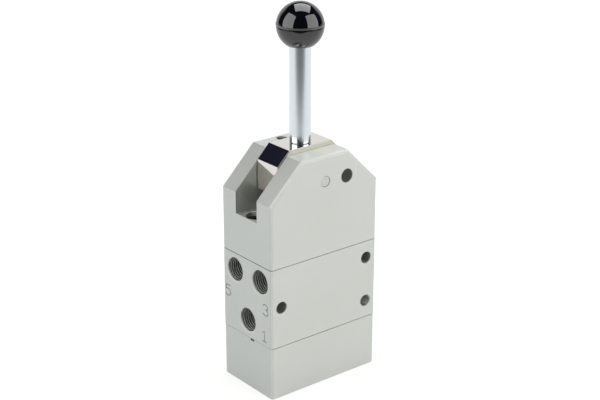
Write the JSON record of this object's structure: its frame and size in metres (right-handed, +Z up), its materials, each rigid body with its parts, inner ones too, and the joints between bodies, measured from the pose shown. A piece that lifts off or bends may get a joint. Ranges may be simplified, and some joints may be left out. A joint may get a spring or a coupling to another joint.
{
  "type": "manual directional valve",
  "caption": "Hand lever directional valve: ported block on a spring base, slotted housing, and a rocking lever with a ball knob that works two upright spools.",
  "frame": {"origin": "centre of the base's underside, in the plane the valve stands on, under the lever", "axes": "+Z up along the resting lever; +X along the wide face, so the lever swings in the XZ plane and the end with three ports faces -X; +Y across the slot, away from the wide face that the picture shows"},
  "size_m": [0.0716, 0.042, 0.207],
  "materials": {
    "aluminium_blocks": "light grey, clear anodised over a fine blast, satin",
    "gasket_sheet": "dark fibre sheet",
    "black_screws": "black oxide, lightly oiled",
    "ground_steel": "ground and polished steel",
    "polished_rocker": "mirror polished, nickel plated",
    "bronze": "machined bronze",
    "zinc_plated_rod": "bright bluish zinc plate on drawn bar",
    "brass": "machined brass",
    "black_phenolic": "moulded black phenolic, high gloss",
    "nitrile_rubber": "black moulded rubber",
    "spring_wire": "drawn spring wire, oiled"
  },
  "bodies": {
    "valve": {"base": "aluminium_blocks", "base_gasket": "gasket_sheet", "valve_body": "aluminium_blocks", "housing_gasket": "gasket_sheet", "lever_housing": "aluminium_blocks", "base_screws": "black_screws", "housing_screws": "black_screws", "pivot_pin": "ground_steel", "pin_lock_screw": "black_screws", "guide_bush_left": "bronze", "guide_bush_right": "bronze", "stem_seal_left": "nitrile_rubber", "stem_seal_right": "nitrile_rubber", "return_spring_left": "spring_wire", "return_spring_right": "spring_wire"},
    "lever": {"rocker": "polished_rocker", "rocker_bush": "bronze", "lever_rod": "zinc_plated_rod", "knob_insert": "brass", "ball_knob": "black_phenolic", "roller_pin_left": "ground_steel", "roller_pin_right": "ground_steel"},
    "left_roller": {"roller_left": "ground_steel"},
    "right_roller": {"roller_right": "ground_steel"},
    "left_spool": {"spool_left": "ground_steel", "spool_seals_left": "nitrile_rubber", "spring_seat_left": "ground_steel"},
    "right_spool": {"spool_right": "ground_steel", "spool_seals_right": "nitrile_rubber", "spring_seat_right": "ground_steel"}
  },
  "joints": [
    {"name": "lever_swing", "type": "hinge", "parent": "valve", "child": "lever", "pos_m": [0, 0, 0.116], "axis": [0, 1, 0], "range_deg": [-17, 17], "stiffness_Nm_per_rad": 4.2},
    {"name": "left_spool_travel", "type": "slide", "parent": "valve", "child": "left_spool", "axis": [0, 0, 1], "range_m": [-0.00425, 0.00425], "deforming": ["return_spring_left"]},
    {"name": "right_spool_travel", "type": "slide", "parent": "valve", "child": "right_spool", "axis": [0, 0, 1], "range_m": [-0.00425, 0.00425], "deforming": ["return_spring_right"]},
    {"name": "left_roller_turn", "type": "hinge", "parent": "lever", "child": "left_roller", "pos_m": [-0.0145, 0, 0.116], "axis": [0, 1, 0], "continuous": true},
    {"name": "right_roller_turn", "type": "hinge", "parent": "lever", "child": "right_roller", "pos_m": [0.0145, 0, 0.116], "axis": [0, 1, 0], "continuous": true}
  ],
  "couplings": [
    {"joint": "left_spool_travel", "follows": "lever_swing", "m_per_rad": 0.014288},
    {"joint": "right_spool_travel", "follows": "lever_swing", "m_per_rad": -0.014288}
  ]
}
